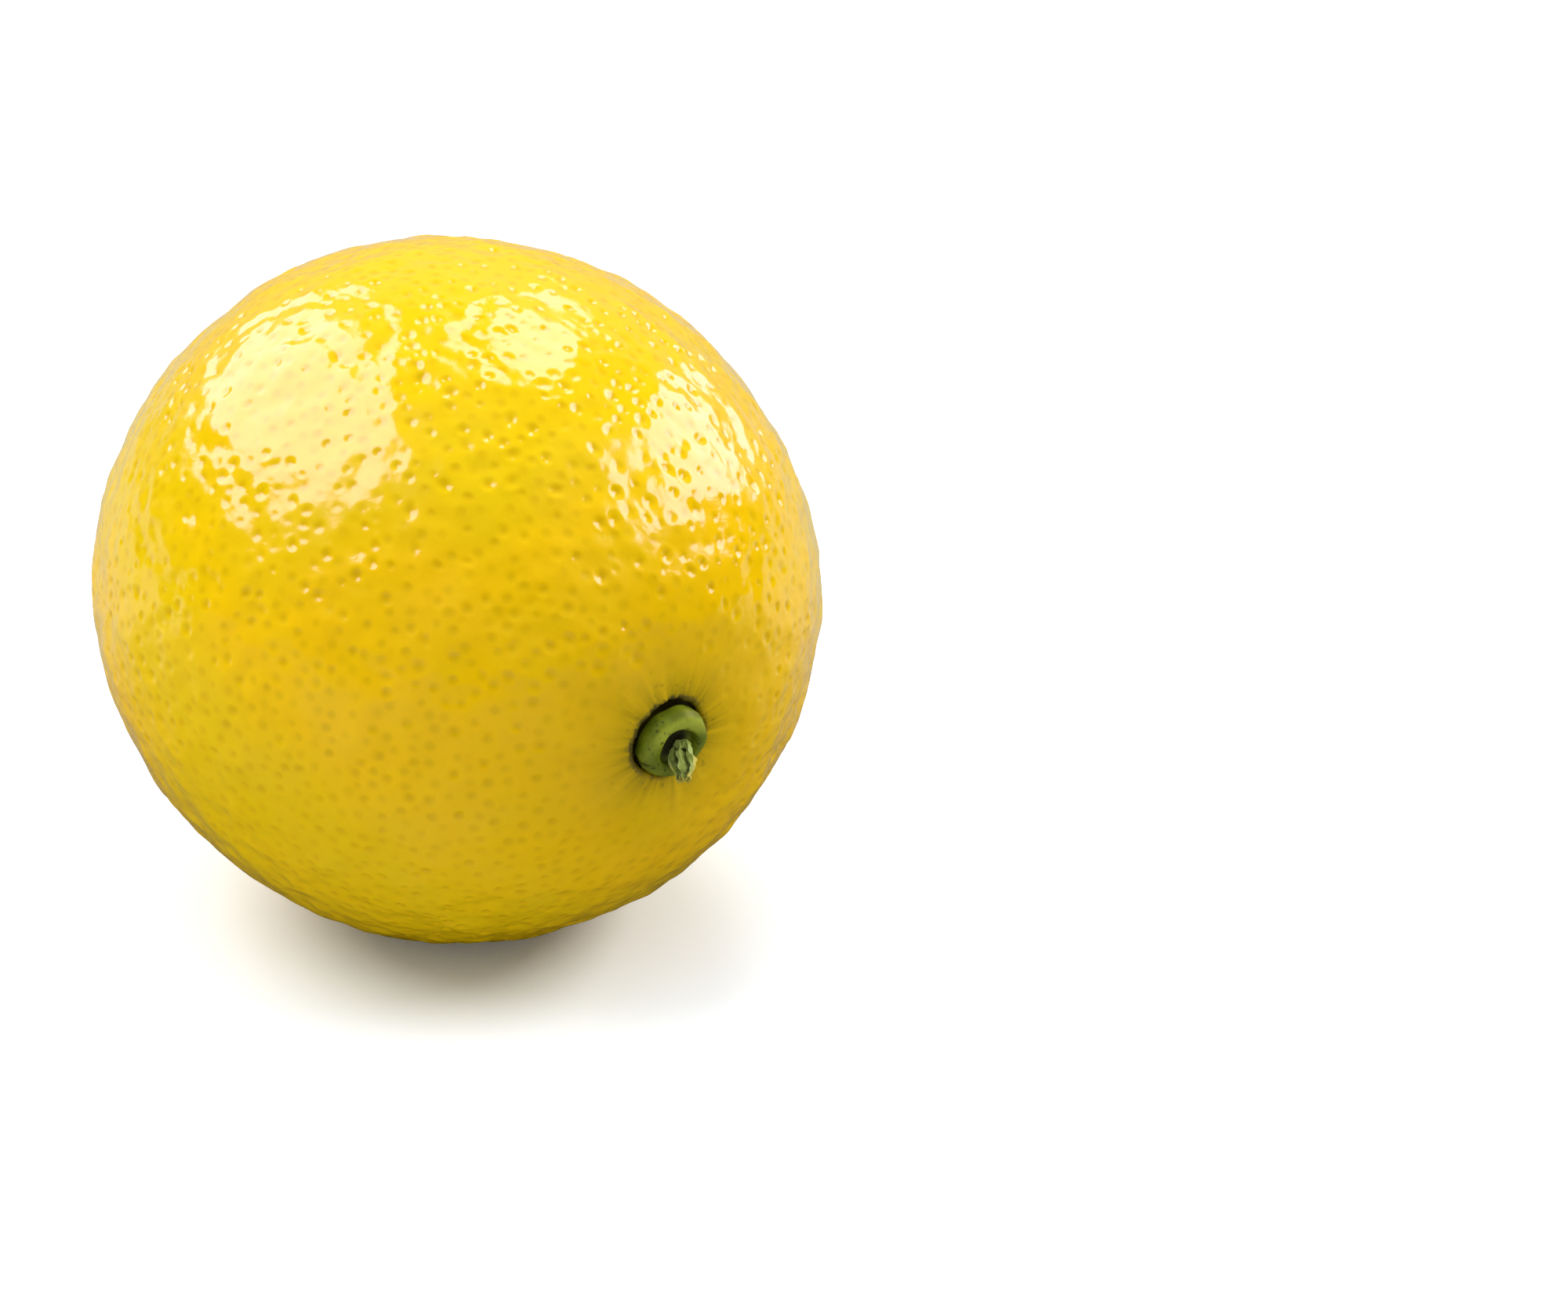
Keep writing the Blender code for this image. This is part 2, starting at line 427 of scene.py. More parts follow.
# %% Press the glands into the peel
PIT_RANGE = 1.3 * MM  # points further from the gland stay as they are
SOFT_UNTIL = 8 * MM  # from the rim of the pocket
SWELLING, SWELLING_AT, SWELLING_WIDTH = 0.14, 1.7, 0.5
gland_random = np.random.default_rng(32)
dots = np.zeros(len(flat_points))
pitted = fade(hills(flat_points, 15 * MM, 33) + 0.45 * flat_points[:, 0] / STEM_REACH, -0.35, 0.45)
for index in glands:
    place = flat_points[index]
    softness = 0.4 + 0.6 * min(rim_distance[index] / SOFT_UNTIL, 1.0)
    radius = gland_random.uniform(0.22, 0.42) * MM
    steepness = (0.06 + 0.38 * gland_random.random() ** 1.4 * (0.25 + pitted[index])) * softness
    dot_radius = gland_random.uniform(0.38, 0.54) * MM
    strength = gland_random.uniform(0.45, 1.0) * softness
    found = tree.find_range(place, PIT_RANGE)
    near = np.fromiter((item[1] for item in found), int, len(found))
    distance = np.fromiter((item[2] for item in found), float, len(found))
    long_way = gland_random.normal(size=3)
    long_way /= np.linalg.norm(long_way)
    stretch = gland_random.uniform(0.0, 0.6)
    far = np.sqrt(distance**2 - stretch * ((flat_points[near] - place) @ long_way) ** 2) / radius
    bowl = np.exp(-(far**2)) - SWELLING * np.exp(-(((far - SWELLING_AT) / SWELLING_WIDTH) ** 2))
    height[near] -= steepness * radius * bowl
    dots[near] = np.maximum(dots[near], strength * np.exp(-((distance / dot_radius) ** 3)))
print("lowest point of the relief in mm:", round(height.min() / MM, 2))

# %% [markdown]
# ## The scar at the tip
#
# At the very tip of the nipple the flower's style has left a small dark scar, a little sunk,
# with a stump in its middle. It is relief and stain together, so both use one shape.

# %% Scar
SCAR_RADIUS = 1.25 * MM
SCAR_DEPTH = 0.35 * MM
STUMP_HEIGHT, STUMP_RADIUS = 0.25 * MM, 0.35 * MM
away_from_axis = np.repeat(ring_away, SECTORS)
scar_edge = SCAR_RADIUS * (1 + 0.35 * creases(0.45, 41))
at_tip = tip_distance < 8 * MM
scar = (1 - fade(away_from_axis, 0.75 * scar_edge, 1.25 * scar_edge)) * at_tip
height -= SCAR_DEPTH * scar
height += STUMP_HEIGHT * np.exp(-((away_from_axis / STUMP_RADIUS) ** 2)) * at_tip
print("points in the scar:", int((scar > 0.5).sum()))

# %% [markdown]
# ## The ragged pocket
#
# The peel grows close round the button and doesn't follow it exactly. Above the button it
# gapes a little, and under it the gap closes. So the rim is pulled inwards by an amount that
# changes with the bearing, and that fades out over the next millimetre of the peel.

# %% Close the rim round the button
GAPE_BEARING = radians(130)  # up and to the side that faces the camera
CLOSED, CLOSED_MORE = 0.56 * MM, 0.12 * MM
RIM_SOFTNESS = 0.7 * MM
gape = fade(np.cos(sector_bearing - GAPE_BEARING), -0.45, 0.80)
ragged = creases(0.045, 44) * 0.08 * MM + creases(0.3, 45) * 0.10 * MM
rim_ragged = ragged * gape - CLOSED - CLOSED_MORE * (1 - gape)
rim_zone = np.exp(-rim_distance / RIM_SOFTNESS)
rim_shift = rim_ragged * rim_zone * fade(away_from_axis, 0.3 * POCKET_RADIUS, 0.9 * POCKET_RADIUS)
sideways = np.stack([np.zeros(len(flat_points)), np.cos(sector_bearing), np.sin(sector_bearing)], -1)
moved = flat_points + rim_shift[:, None] * sideways
edge_distance = rim_distance + (rim_shift - rim_ragged) * on_peel
print("the rim moves in by", round(-rim_shift.min() / MM, 2), "mm at most")

# %% [markdown]
# The torn rim has dried brown, and where the rim gapes the brown band is wider and darker, as painted shade
# of the gap. The band has a frayed edge, a few hair-fine splits run out of it, and small specks lie further
# off. The floor and wall of the pocket are painted brown too, as painted shade of the recess. Round the rim
# the skin is still a little green, in faint streaks that point at the stem, and a broader olive round the
# stem is partly its own colour and partly painted shade.

# %% Stains, green and painted shade round the stem
fringe = hills(moved, 0.55 * MM, 47) + 0.8 * hills(moved, 0.22 * MM, 48)
split_reach = gape * 1.6 * MM * np.clip(creases(0.06, 43), 0.0, 1.0) ** 1.5
split_end = 1 - fade(edge_distance, 0.3 * split_reach, split_reach + 0.05 * MM)
splits = fade(creases(0.012, 42), 0.5, 0.85) * split_end
height -= 0.04 * MM * splits * on_peel
# The brown band at the rim is partly dried tissue and partly painted shade of the gap: it reaches further
# and is darker where the rim gapes.
dark_rim_reach = 0.02 * MM + 0.14 * MM * gape
rim_stain_and_shade = fade(dark_rim_reach + 0.20 * MM * fringe - edge_distance, -0.22 * MM, 0.20 * MM)
rim_stain_and_shade *= (0.40 + 0.5 * gape) * on_peel
specks = fade(hills(moved, 0.34 * MM, 49) - edge_distance / (8 * MM), 0.40, 0.75)
specks *= 0.30 * np.exp(-((edge_distance / (4 * MM)) ** 2))
# The pocket's floor and wall are painted almost fully brown, as painted shade of the recess; the splits,
# specks and scar are the peel's own marks.
stain_and_shade = np.maximum.reduce([0.93 * in_pocket, rim_stain_and_shade, 0.6 * splits, specks, 0.92 * scar])

# Olive round the stem: near the rim it is the skin's own green in streaks, and the broad olive out to about
# 8 mm is partly its own colour and partly painted shade.
streaks = np.clip(1 + 0.6 * creases(0.07, 46) + 0.4 * creases(0.03, 50), 0.0, 2.0)
green_and_shade = 0.62 * np.exp(-edge_distance / (1.6 * MM)) * streaks
green_and_shade = green_and_shade + 0.40 * np.exp(-((edge_distance / (7.5 * MM)) ** 2)) + 0.25 * near_tip
green_and_shade = np.clip(green_and_shade, 0.0, 1.0)
print("stained points:", int((stain_and_shade > 0.5).sum()))

# %% [markdown]
# Now the points move to their place and become a mesh. The underside is pressed level where
# it touches the table, with a soft edge. The painted numbers go along for the material.

# %% Build the peel
FLAT_SOFTNESS = 0.12 * MM
TIP_STANDS_OUT = 0.05 * MM
placed = bent(moved + flat_normals * height[:, None])
placed[:, 2] = (placed[:, 2] + np.sqrt(placed[:, 2] ** 2 + FLAT_SOFTNESS**2)) / 2
placed = placed.reshape(rings, SECTORS, 3)
pocket_middle = bent(np.array([floor_along, 0.0, 0.0]))
nipple_tip = placed[-1].mean(axis=0) - np.array([TIP_STANDS_OUT, 0.0, 0.0])
peel = skin("lemon_peel", placed, pocket_middle, nipple_tip)
paint(peel, "gland", dots, 0.0, 0.0)
paint(peel, "stain_and_shade", stain_and_shade, 1.0, 1.0)
paint(peel, "green_and_shade", green_and_shade, 1.0, 0.0)

# %% [markdown]
# The new skin has to stay close to the CAD solid, because that is what the physics knows. For
# one point in about a thousand, a search tree finds the nearest place on the CAD solid.

# %% Compare with the CAD solid
cad_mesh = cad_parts["fruit"].data
cad_tree = BVHTree.FromPolygons(
    [v.co for v in cad_mesh.vertices], [tuple(p.vertices) for p in cad_mesh.polygons]
)
ONE_IN = 997
strays = [cad_tree.find_nearest(Vector(p))[3] for p in placed.reshape(-1, 3)[::ONE_IN]]
print("the points tried stray from the CAD solid by at most", round(max(strays) / MM, 2), "mm")

# %% [markdown]
# ## The green button
#
# The button is what is left of the flower's calyx: a thick, smooth ring with a sunken middle,
# not quite round, with a nick in its edge. Its outline is a closed loop from the middle of
# the pit over the lip and back under to the axis. The bearing then pulls the lip in and out.

# %% Shape the button
calyx_low, calyx_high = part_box("calyx")
CALYX_RADIUS = (calyx_high.y - calyx_low.y) / 2 - 0.05 * MM
CALYX_HEIGHT = 2.0 * MM
PIT_RADIUS = 1.45 * MM
PIT_DEPTH = 1.05 * MM
GAP = 0.3 * MM
CALYX_SECTORS = 260
CALYX_TILT = radians(8)  # further down than the stem axis


def button_outline():
    """(rise, away) from the pit's middle, over the lip, to the underside."""
    middle, half = (PIT_RADIUS + CALYX_RADIUS) / 2, (CALYX_RADIUS - PIT_RADIUS) / 2
    lip = 0.52 * CALYX_HEIGHT
    pit = [(CALYX_HEIGHT - PIT_DEPTH, share * PIT_RADIUS) for share in np.linspace(0.1, 0.85, 9)]
    over = [
        (CALYX_HEIGHT - lip + lip * sin(turn) ** 0.9, middle + half * cos(turn))
        for turn in np.linspace(pi * 0.985, pi * 0.015, 40)
    ]
    side = [
        (rise, CALYX_RADIUS * (1 - 0.05 * (1 - rise / lip)))
        for rise in np.linspace(0.8, 0.06, 10) * lip
    ]
    under = [(0.0, share * CALYX_RADIUS) for share in (0.9, 0.7, 0.45, 0.2)]
    return np.array(pit + over + side + under)


outline = button_outline()
print("points in the button's outline:", len(outline))

# %% [markdown]
# The outline is turned about the axis, and the bearing says how far each part reaches. The
# pit is off the middle, so that the ring is thick above and thin below. The outer edge is a
# slight oval with low lobes.

# %% Turn the outline into the button
UNDERSIDE = 0.22 * MM  # raised, so that the tilted button stays clear of the pocket's floor
RIM_MARGIN = 0.14 * MM
calyx_bearing = np.linspace(0.0, 2 * pi, CALYX_SECTORS, endpoint=False)
rise = np.repeat(outline[:, 0][:, None], CALYX_SECTORS, 1)
out = outline[:, 1][:, None]
off_middle = 0.26 * np.cos(calyx_bearing + radians(45))
pit_edge = PIT_RADIUS * (1.06 + off_middle + 0.06 * np.cos(3 * calyx_bearing))
oval = 1 - 0.07 * (1 - np.cos(2 * (calyx_bearing - radians(60)))) / 2
lobes = 1 + 0.022 * np.cos(5 * calyx_bearing + 0.8) + 0.012 * np.cos(9 * calyx_bearing)
rim_edge = (CALYX_RADIUS - RIM_MARGIN) * oval * lobes * (1 - 0.035 * np.abs(np.sin(calyx_bearing)))
share = np.clip((out - PIT_RADIUS) / (CALYX_RADIUS - PIT_RADIUS), 0.0, 1.0)
on_ring = pit_edge + share * (rim_edge - pit_edge)
away_now = np.where(out < PIT_RADIUS, out / PIT_RADIUS * pit_edge, on_ring)
unit = np.stack([np.zeros(CALYX_SECTORS), np.cos(calyx_bearing), np.sin(calyx_bearing)], -1)
button = away_now[..., None] * unit
button[..., 0] = np.maximum(rise, UNDERSIDE)
print("the button reaches", round(away_now.max() / MM, 1), "mm from its axis at most")

# %% [markdown]
# A turned ring looks too perfect, so its top gets soft waves, its edge a nick, and its skin little dark
# spots that sink in a bit. Spots, nick, pit and crown each become a number from 0 to 1 at every point, which
# the material reads later. The material paints the nick and the pit dark as painted shade, and the crown's
# upper side pale as a painted highlight.

# %% Waves, a nick and little spots on the button
BROAD_WAVE, SMALL_WAVE = 0.22 * MM, 0.05 * MM
NICK_BEARING, NICK_WIDTH, NICK_DEPTH = radians(205), 0.085, 0.09
SPOTS, SPOT_SINK = 90, 0.03 * MM
FIRST_SPOT_RING, LAST_SPOT_RING = 9, 55
button_points = button.reshape(-1, 3)
top_share = fade(button_points[:, 0], 0.3 * CALYX_HEIGHT, 0.9 * CALYX_HEIGHT)
button_bearing = np.tile(calyx_bearing, len(outline))
button_points[:, 0] += top_share * BROAD_WAVE * hills(button_points, 2.4 * MM, 51)
button_points[:, 0] += top_share * SMALL_WAVE * hills(button_points, 0.7 * MM, 52)
nick_turn = (button_bearing - NICK_BEARING + pi) % (2 * pi) - pi
from_axis = np.hypot(button_points[:, 1], button_points[:, 2])
outer = fade(from_axis, 0.72 * CALYX_RADIUS, 0.95 * CALYX_RADIUS)
nick = np.exp(-((nick_turn / NICK_WIDTH) ** 2)) * outer
button_points[:, 1:] *= (1 - NICK_DEPTH * nick)[:, None]

spot_random = np.random.default_rng(53)
spots = np.zeros(len(button_points))
for _ in range(SPOTS):
    centre = button_points[
        spot_random.integers(FIRST_SPOT_RING * CALYX_SECTORS, LAST_SPOT_RING * CALYX_SECTORS)
    ]
    size = (0.04 + 0.15 * spot_random.random() ** 2) * MM
    spot = np.exp(-np.sum((button_points - centre) ** 2, axis=1) / size**2)
    spots = np.maximum(spots, spot)
button_points[:, 0] -= SPOT_SINK * spots * top_share
from_axis = np.hypot(button_points[:, 1], button_points[:, 2])
# The pit, which the material paints dark brown as painted shade and makes duller.
in_pit = 1 - fade(from_axis, 0.75 * PIT_RADIUS, 1.25 * PIT_RADIUS)
in_pit *= 1 - fade(button_points[:, 0], 0.62 * CALYX_HEIGHT, 0.9 * CALYX_HEIGHT)
# The crown is the ring's top on its upper side, which the material paints pale as a painted highlight.
crown_highlight = fade(button_points[:, 0], 0.72 * CALYX_HEIGHT, 1.02 * CALYX_HEIGHT)
crown_highlight *= fade(np.sin(button_bearing), -0.1, 0.9)
print("points in the nick:", int((nick > 0.5).sum()))

# %% [markdown]
# The button stands on the pocket's floor with a small gap, along the bent stem axis and
# tilted a little further down.

# %% Put the button in its pocket
pocket_slope = 2 * STEM_DROP * (floor_along / STEM_REACH) / STEM_REACH
button_place = Vector(pocket_middle) + GAP * Vector((cos(pocket_slope), 0.0, -sin(pocket_slope)))
button_frame = Matrix.Translation(button_place) @ Matrix.Rotation(pocket_slope + CALYX_TILT, 4, "Y")


def put(points, place):
    """Moves an array of points by a 4 x 4 matrix."""
    turn = np.array(place.to_3x3())
    return points @ turn.T + np.array(place.translation)


button_rings = put(button_points, button_frame).reshape(len(outline), CALYX_SECTORS, 3)
pit_middle = button_frame @ Vector((CALYX_HEIGHT - PIT_DEPTH, 0.0, 0.0))
under_middle = button_frame @ Vector((UNDERSIDE, 0.0, 0.0))
calyx = skin("calyx_button", button_rings, pit_middle, under_middle)
paint(calyx, "spot", spots, 0.0, 0.0)
paint(calyx, "pit", in_pit, 1.0, 1.0)
paint(calyx, "nick", nick, 0.0, 0.0)
paint(calyx, "crown_highlight", crown_highlight, 0.0, 0.0)

# %% [markdown]
# ## The dry stub
#
# The stub of the stem has dried to a crooked, papery stalk: thin at the foot, widest half way,
# and torn at the tip. It is a grid again. Its section is a flattened ring with deep folds,
# which wander sideways on their way up. A long crack and a small hole are sunk in its front.

# %% Shape the stub
STUB_LENGTH = 3.50 * MM
STUB_DIRECTION = Vector((0.74, -0.36, -0.57)).normalized()
STUB_FACES = Vector((0.55, -0.80, 0.25))  # the way its flat side looks
STUB_SECTORS = 180
STUB_RINGS = 120
INNER_RINGS = 20
stub_bearing = np.linspace(0.0, 2 * pi, STUB_SECTORS, endpoint=False)
climb = np.linspace(0.0, 1.0, STUB_RINGS)[:, None]
width_stops, widths = [0, 0.12, 0.3, 0.55, 0.75, 0.9, 1.0], [0.62, 0.84, 1.02, 1.10, 1.02, 0.86, 0.72]
half_width = MM * np.interp(climb, width_stops, widths)
half_thickness = MM * np.interp(climb, [0, 0.2, 0.6, 1.0], [0.42, 0.40, 0.30, 0.17])
side = np.cos(stub_bearing)
front = np.sin(stub_bearing)
print("the stub is", round(2 * half_width.max() / MM, 1), "mm wide before it crumples")

# %% Fold and crack the stub
DEEP_FOLD, SHALLOW_FOLD = 0.24 * MM, 0.09 * MM
CRACK_DEPTH, CRACK_WIDTH = 0.22 * MM, 0.075
CURL = 0.30 * MM
wide = half_width * side * (1 + 0.10 * np.sin(9 * climb + 2 * side))
fold = DEEP_FOLD * np.sin(2.1 * pi * side + 0.8 + 2.2 * climb) * fade(climb, 0.02, 0.35)
fold = fold + SHALLOW_FOLD * np.sin(5.3 * pi * side - 3.0 * climb) * fade(climb, 0.0, 0.3)
from_crack = side + 0.38 - 0.25 * climb + 0.05 * np.sin(21 * climb)
crack = np.exp(-((from_crack / CRACK_WIDTH) ** 2)) * fade(climb, 0.06, 0.2)
hole_side, hole_climb = (side - 0.36) / 0.15, (climb - 0.24 - 0.10 * side) / 0.055
hole = np.exp(-((hole_side**2 + hole_climb**2) ** 2))
crack = np.maximum(crack, hole) * (front > 0)
fold = fold - CRACK_DEPTH * crack
curl = -CURL * side**2 * np.sin(pi * climb)
thick = half_thickness * np.sign(front) * np.abs(front) ** 0.7 + fold + curl
print("the folds go from", (fold.min() / MM).round(2), "to", (fold.max() / MM).round(2), "mm")

# %% [markdown]
# The torn tip ends at a different height on each side and folds back inside, so that it looks
# hollow. At last all of it is crumpled with noise.

# %% Tear and crumple the stub
INWARD_DEPTH = 0.7 * MM
CRUMPLE, FINE_CRUMPLE = 0.13 * MM, 0.05 * MM
torn = 0.05 * np.sin(3.1 * side + 0.7) + 0.03 * np.sin(8 * side + 1.0) + 0.015 * np.sin(19 * side)
stub_along = STUB_LENGTH * climb * (1 + torn * climb**4)
outer_skin = np.stack([stub_along, wide, thick], -1)
sink = np.linspace(0.0, 1.0, INNER_RINGS)[1:, None, None]
tip_ring = outer_skin[-1]
tip_axis = tip_ring.mean(axis=0)
inner_skin = tip_axis + (tip_ring - tip_axis) * (0.92 - 0.6 * sink)
inner_skin[..., 0] = tip_ring[:, 0] - INWARD_DEPTH * sink[..., 0] ** 0.6
stub_points = np.concatenate([outer_skin, inner_skin]).reshape(-1, 3)
crumple = np.stack([hills(stub_points, 0.62 * MM, seed) for seed in (61, 62, 63)], -1)
crumple_fine = np.stack([hills(stub_points, 0.24 * MM, seed) for seed in (64, 65, 66)], -1)
stub_points += CRUMPLE * crumple + FINE_CRUMPLE * crumple_fine
print("points on the stub:", len(stub_points))

# %% [markdown]
# The stub's own three directions are along it, across it and out of its flat side. A matrix
# of them turns it, and its foot goes into the button's pit.

# %% Stand the stub in the pit
along_stub = STUB_DIRECTION
across_stub = STUB_FACES.cross(along_stub).normalized()
faces = along_stub.cross(across_stub)
turn = Matrix((along_stub, across_stub, faces)).transposed().to_4x4()
pit_axis = (button_frame.to_3x3() @ Vector((1.0, 0.0, 0.0))).normalized()
lean_side = (along_stub - along_stub.dot(pit_axis) * pit_axis).normalized()
foot = pit_middle - 0.10 * MM * lean_side + 0.30 * MM * pit_axis
foot += 0.60 * MM * Vector((0.0, 0.98, -0.2))
stub_frame = Matrix.Translation(foot) @ turn
stub_rings = put(stub_points, stub_frame).reshape(STUB_RINGS + INNER_RINGS - 1, STUB_SECTORS, 3)
stub_foot = stub_rings[0].mean(axis=0)
stub_end = stub_rings[-1].mean(axis=0)
stub = skin("stem_stub_dry", stub_rings, stub_foot, stub_end)

# %% [markdown]
# Four numbers tell the stub's material where it is cracked, how high a fold stands, where its paper edges
# are and where its hollow inside begins. The material paints the crack, the low folds and the hollow dark as
# painted shade, and the high folds pale as a painted highlight. The inner rings get theirs at the end.

# %% Paint the stub
stub_relief = fold + 0.11 * MM * crumple[: fold.size, 2].reshape(fold.shape)
crest = np.clip(0.5 + stub_relief / (0.8 * MM), 0.0, 1.0)
crest = np.concatenate([crest, np.zeros((INNER_RINGS - 1, STUB_SECTORS))]).ravel()
edge = np.abs(side) ** 6 * fade(climb, 0.25, 0.6) + fade(climb, 0.88, 1.0)
edge_inside = np.repeat(1 - sink[..., 0], STUB_SECTORS, 1)
edge = np.concatenate([np.clip(edge, 0.0, 1.0), edge_inside]).ravel()
hollow = np.concatenate([np.zeros(STUB_RINGS * STUB_SECTORS), np.repeat(sink.ravel(), STUB_SECTORS)])
cracked = np.concatenate([crack, np.zeros((INNER_RINGS - 1, STUB_SECTORS))]).ravel()
paint(stub, "crack", cracked, 0.0, 0.0)
paint(stub, "crest", crest, 0.0, 0.0)
paint(stub, "edge", edge, 0.0, 0.0)
paint(stub, "hollow", hollow, 0.0, 1.0)
print("cracked points:", int((cracked > 0.5).sum()))

# %% [markdown]
# ## Small tools for materials
#
# Every material here is a graph of nodes round one Principled BSDF. A few helpers keep the
# graphs readable. They start a material, add a node with its inputs, read a painted number,
# mix two colours, map a range, make noise and turn noise into fine bumps.

# %% Node helpers


def new_material(name):
    made = bpy.data.materials.new(name)
    made.use_nodes = True
    return made, made.node_tree, made.node_tree.nodes["Principled BSDF"]


def node(tree, kind, inputs=None, **settings):
    """Adds a node, applies its settings and fills its inputs with numbers or with sockets."""
    made = tree.nodes.new(kind)
    for key, value in settings.items():
        setattr(made, key, value)
    for key, value in (inputs or {}).items():
        socket = made.inputs[key]
        if isinstance(value, bpy.types.NodeSocket):
            tree.links.new(value, socket)
        else:
            socket.default_value = value
    return made


def painted(tree, name):
    return node(tree, "ShaderNodeAttribute", attribute_name=name).outputs["Fac"]


def mixed(tree, amount, first, second, blend="MIX"):
    made = node(tree, "ShaderNodeMix", data_type="RGBA", blend_type=blend)
    for key, value in ((0, amount), (6, first), (7, second)):
        if isinstance(value, bpy.types.NodeSocket):
            tree.links.new(value, made.inputs[key])
        else:
            made.inputs[key].default_value = value if key == 0 else (*value, 1.0)
    return made.outputs[2]


def ranged(tree, value, start, end, low, high):
    made = node(tree, "ShaderNodeMapRange", {0: value, 1: start, 2: end, 3: low, 4: high})
    made.interpolation_type = "SMOOTHSTEP"
    return made.outputs[0]


def noise(tree, size, detail=3.0, roughness=0.5):
    """Noise with features of this size in metres."""
    place = node(tree, "ShaderNodeTexCoord").outputs["Object"]
    settings = {"Vector": place, "Scale": 1 / size, "Detail": detail, "Roughness": roughness}
    return node(tree, "ShaderNodeTexNoise", settings).outputs["Fac"]


def bumped(tree, height, distance, strength=1.0, before=None):
    inputs = {"Height": height, "Distance": distance, "Strength": strength}
    if before is not None:
        inputs["Normal"] = before
    return node(tree, "ShaderNodeBump", inputs).outputs["Normal"]


# %% [markdown]
# ## The peel's finish
#
# Lemon yellow is nearly pure: it reflects red and green and swallows blue. It wanders between a warm, orange
# yellow and a cool, greenish one. The gland dots are a little darker, the skin turns green round the stem,
# where the broader olive is partly painted shade, and the torn rim and the scar are brown. The pocket and
# the gap at the rim are painted dark brown as painted shade. The surface is waxy: a clear gloss, rougher
# where it is painted brown. A little subsurface light softens it.

# %% Material of the peel
peel_look, tree, shader = new_material("lemon_peel_wax")
WARM_YELLOW, COOL_YELLOW, YELLOW = (0.92, 0.555, 0.0008), (0.82, 0.565, 0.001), (0.88, 0.575, 0.001)
DOT_YELLOW, OLIVE, BROWN = (0.735, 0.455, 0.0006), (0.43, 0.300, 0.0006), (0.050, 0.042, 0.003)
patches = noise(tree, 22 * MM, 2.0)
colour = mixed(tree, ranged(tree, patches, 0.35, 0.65, 0.0, 1.0), WARM_YELLOW, COOL_YELLOW)
mottle = noise(tree, 3.2 * MM, 3.0, 0.6)
colour = mixed(tree, ranged(tree, mottle, 0.40, 0.75, 0.0, 0.4), colour, YELLOW)
fine_mottle = noise(tree, 0.9 * MM, 2.0)
colour = mixed(tree, ranged(tree, fine_mottle, 0.5, 0.8, 0.0, 0.18), colour, DOT_YELLOW)
colour = mixed(tree, ranged(tree, painted(tree, "gland"), 0.0, 1.0, 0.0, 0.7), colour, DOT_YELLOW)
# Olive round the stem, partly the skin's own colour and partly painted shade.
colour = mixed(tree, painted(tree, "green_and_shade"), colour, OLIVE)
# Dark brown for the dried rim, specks and scar, and as painted shade in the pocket and in the rim's gap.
colour = mixed(tree, painted(tree, "stain_and_shade"), colour, BROWN)
tree.links.new(colour, shader.inputs["Base Color"])

gloss = ranged(tree, noise(tree, 7 * MM, 3.0), 0.35, 0.7, 0.11, 0.17)
worn = ranged(tree, painted(tree, "stain_and_shade"), 0.0, 1.0, 0.0, 0.2)
rough = node(tree, "ShaderNodeMath", {0: gloss, 1: worn}, operation="ADD").outputs[0]
tree.links.new(rough, shader.inputs["Roughness"])
normal = bumped(tree, noise(tree, 0.6 * MM, 3.0, 0.55), 0.018 * MM)
normal = bumped(tree, noise(tree, 0.15 * MM, 2.0), 0.0025 * MM, 1.0, normal)
tree.links.new(normal, shader.inputs["Normal"])
shader.inputs["IOR"].default_value = 1.5
shader.inputs["Specular IOR Level"].default_value = 1.0
shader.inputs["Subsurface Weight"].default_value = 0.12
shader.inputs["Subsurface Scale"].default_value = 1.4 * MM
shader.inputs["Subsurface Radius"].default_value = (1.0, 0.55, 0.08)
peel.data.materials.append(peel_look)
print("nodes in the peel's material:", len(peel_look.node_tree.nodes))

# %% [markdown]
# ## The button's and the stub's finish
#
# The button is fresh tissue, mid green, with dark specks; its crown is painted pale on its upper side as a
# painted highlight, and its nick and pit are painted dark as painted shade. The stub is dead: grey-green,
# straw-coloured on its torn edges, painted paler on the tops of its folds as a painted highlight, painted
# dark in its creases, its crack and its hollow as painted shade, and quite dull.

# %% Material of the button
# The pale green is a painted highlight on the crown; the nick's and the pit's dark colours are painted
# shade.
DEEP_GREEN, MID_GREEN, HIGHLIGHT_GREEN = (0.115, 0.150, 0.002), (0.20, 0.245, 0.006), (0.38, 0.44, 0.035)
MOTTLE_GREEN, SPOT_GREEN = (0.10, 0.125, 0.003), (0.04, 0.05, 0.004)
NICK_SHADE, PIT_SHADE = (0.04, 0.045, 0.006), (0.030, 0.026, 0.006)
calyx_look, tree, shader = new_material("calyx_green_tissue")
tissue = noise(tree, 1.6 * MM, 3.0)
colour = mixed(tree, ranged(tree, tissue, 0.35, 0.7, 0.0, 1.0), DEEP_GREEN, MID_GREEN)
# Pale on the upper crown: a painted highlight.
colour = mixed(tree, ranged(tree, painted(tree, "crown_highlight"), 0.0, 1.0, 0.0, 0.7), colour, HIGHLIGHT_GREEN)
fine_tissue = noise(tree, 0.35 * MM, 3.0)
colour = mixed(tree, ranged(tree, fine_tissue, 0.5, 0.75, 0.0, 0.35), colour, MOTTLE_GREEN)
colour = mixed(tree, ranged(tree, painted(tree, "spot"), 0.2, 0.9, 0.0, 0.8), colour, SPOT_GREEN)
# Dark in the nick: painted shade.
colour = mixed(tree, ranged(tree, painted(tree, "nick"), 0.2, 0.9, 0.0, 0.8), colour, NICK_SHADE)
